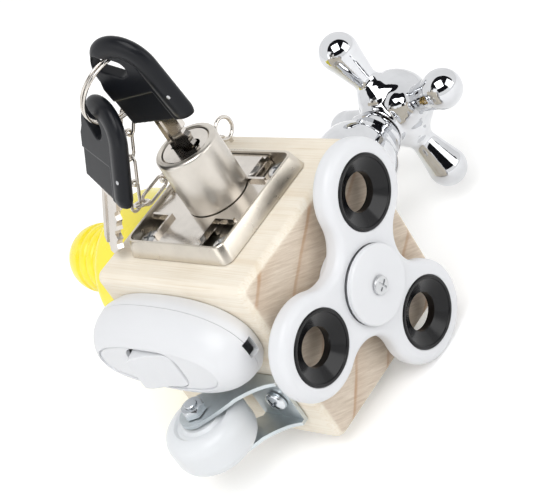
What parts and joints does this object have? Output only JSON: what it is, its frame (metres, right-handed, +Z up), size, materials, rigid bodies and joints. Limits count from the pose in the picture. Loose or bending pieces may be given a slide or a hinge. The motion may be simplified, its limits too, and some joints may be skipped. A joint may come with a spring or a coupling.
{
  "type": "sensory busy block",
  "caption": "Wooden cube with a drawer lock and keys, spinner, rocker switch, caster, tap handle and ringed knob, one fitting to a face, for busy hands.",
  "frame": {"origin": "centre of the wooden cube's bare bottom face", "axes": "+Z up out of the face with the lock, +X out of the face with the spinner, +Y out of the face with the tap, -Y out of the face with the switch and caster, -X out of the face with the ringed knob"},
  "size_m": [0.1274, 0.144, 0.1258],
  "materials": {
    "pine": "sanded, unvarnished",
    "nickel": "polished nickel plate",
    "black_plastic": "satin moulded",
    "steel": "bright zinc plate",
    "white_plastic": "glossy",
    "gloss_black_plastic": "glossy",
    "zinc": "bluish zinc plate",
    "nylon": "smooth",
    "chrome": "mirror plate",
    "brass": "turned",
    "yellow_plastic": "glossy"
  },
  "bodies": {
    "block": {"wood_block": "pine", "lock_case": "nickel", "lock_cover_plate": "nickel", "lock_cylinder": "nickel", "lock_screw_1": "steel", "lock_screw_2": "steel", "lock_screw_3": "steel", "lock_screw_4": "steel", "chain_eye": "nickel", "chain_link_5": "nickel", "chain_link_6": "nickel", "chain_link_7": "nickel", "chain_link_8": "nickel", "chain_link_9": "nickel", "spinner_bearing_inner": "steel", "spinner_front_cap": "white_plastic", "spinner_back_cap": "white_plastic", "spinner_screw": "steel", "switch_base": "white_plastic", "switch_cover": "white_plastic", "switch_screw_1": "steel", "switch_screw_2": "steel", "caster_screw": "zinc", "tap_bonnet": "chrome", "tap_stem": "brass", "drum_base_plate": "yellow_plastic", "drum": "yellow_plastic", "drum_screw_1": "steel", "drum_screw_2": "steel"},
    "plug": {"lock_plug": "nickel"},
    "deadbolt": {"lock_deadbolt": "nickel"},
    "key_1": {"key_1_head": "black_plastic", "key_1_blade": "nickel", "key_1_rivet": "nickel"},
    "ring": {"key_ring": "nickel", "chain_link_1": "nickel", "chain_link_2": "nickel", "chain_link_3": "nickel", "chain_link_4": "nickel"},
    "key_2": {"key_2_head": "black_plastic", "key_2_blade": "nickel", "key_2_rivet": "nickel"},
    "spinner": {"spinner_body": "white_plastic", "spinner_ring_1": "gloss_black_plastic", "spinner_ring_2": "gloss_black_plastic", "spinner_ring_3": "gloss_black_plastic", "spinner_bearing_outer": "steel"},
    "bearing_cage": {"spinner_bearing_cage": "steel"},
    "rocker": {"switch_rocker": "white_plastic"},
    "caster": {"caster_fork": "zinc", "caster_axle_bolt": "zinc", "caster_axle_nut": "zinc"},
    "wheel": {"caster_wheel": "nylon"},
    "handle": {"tap_handle": "chrome"},
    "knob_turning": {"knob": "yellow_plastic", "knob_clip": "steel"}
  },
  "joints": [
    {"name": "plug_turn", "type": "hinge", "parent": "block", "child": "plug", "pos_m": [0.001, 0.0007, 0.0826], "axis": [0, 0, 1], "range_deg": [0, 90]},
    {"name": "deadbolt_slide", "type": "slide", "parent": "block", "child": "deadbolt", "axis": [0, 1, 0], "range_m": [0, 0.008]},
    {"name": "key_1_pull", "type": "slide", "parent": "plug", "child": "key_1", "axis": [0, 0, 1], "range_m": [0, 0.015]},
    {"name": "ring_swing", "type": "hinge", "parent": "key_1", "child": "ring", "pos_m": [-0.00523, 0.00015, 0.11427], "axis": [0.0872, -0.9962, 0], "range_deg": [-25, 0]},
    {"name": "key_2_swing", "type": "hinge", "parent": "ring", "child": "key_2", "pos_m": [-0.01619, -0.00756, 0.09821], "axis": [-0.2671, -0.8643, 0.4262], "range_deg": [-20, 20]},
    {"name": "spinner_turn", "type": "hinge", "parent": "block", "child": "spinner", "pos_m": [0.0368, 0, 0.033], "axis": [1, 0, 0], "continuous": true},
    {"name": "bearing_cage_turn", "type": "hinge", "parent": "block", "child": "bearing_cage", "pos_m": [0.0368, 0, 0.033], "axis": [1, 0, 0], "continuous": true},
    {"name": "rocker_tilt", "type": "hinge", "parent": "block", "child": "rocker", "pos_m": [-0.0027, -0.0412, 0.0425], "axis": [0, 0, 1], "range_deg": [-28, 0]},
    {"name": "caster_swivel", "type": "hinge", "parent": "block", "child": "caster", "pos_m": [0.0169, -0.03, 0.0175], "axis": [0, -1, 0], "range_deg": [-8, 120]},
    {"name": "wheel_roll", "type": "hinge", "parent": "caster", "child": "wheel", "pos_m": [0.002, -0.0463, 0.0175], "axis": [0, 0, 1], "continuous": true},
    {"name": "handle_turn", "type": "hinge", "parent": "block", "child": "handle", "pos_m": [0, 0.072, 0.0308], "axis": [0, 1, 0], "continuous": true},
    {"name": "knob_turn", "type": "hinge", "parent": "block", "child": "knob_turning", "pos_m": [-0.052, 0, 0.033], "axis": [-1, 0, 0], "continuous": true}
  ],
  "couplings": [
    {"joint": "deadbolt_slide", "follows": "plug_turn", "m_per_rad": 0.005092},
    {"joint": "bearing_cage_turn", "follows": "spinner_turn", "ratio": 0.6}
  ]
}
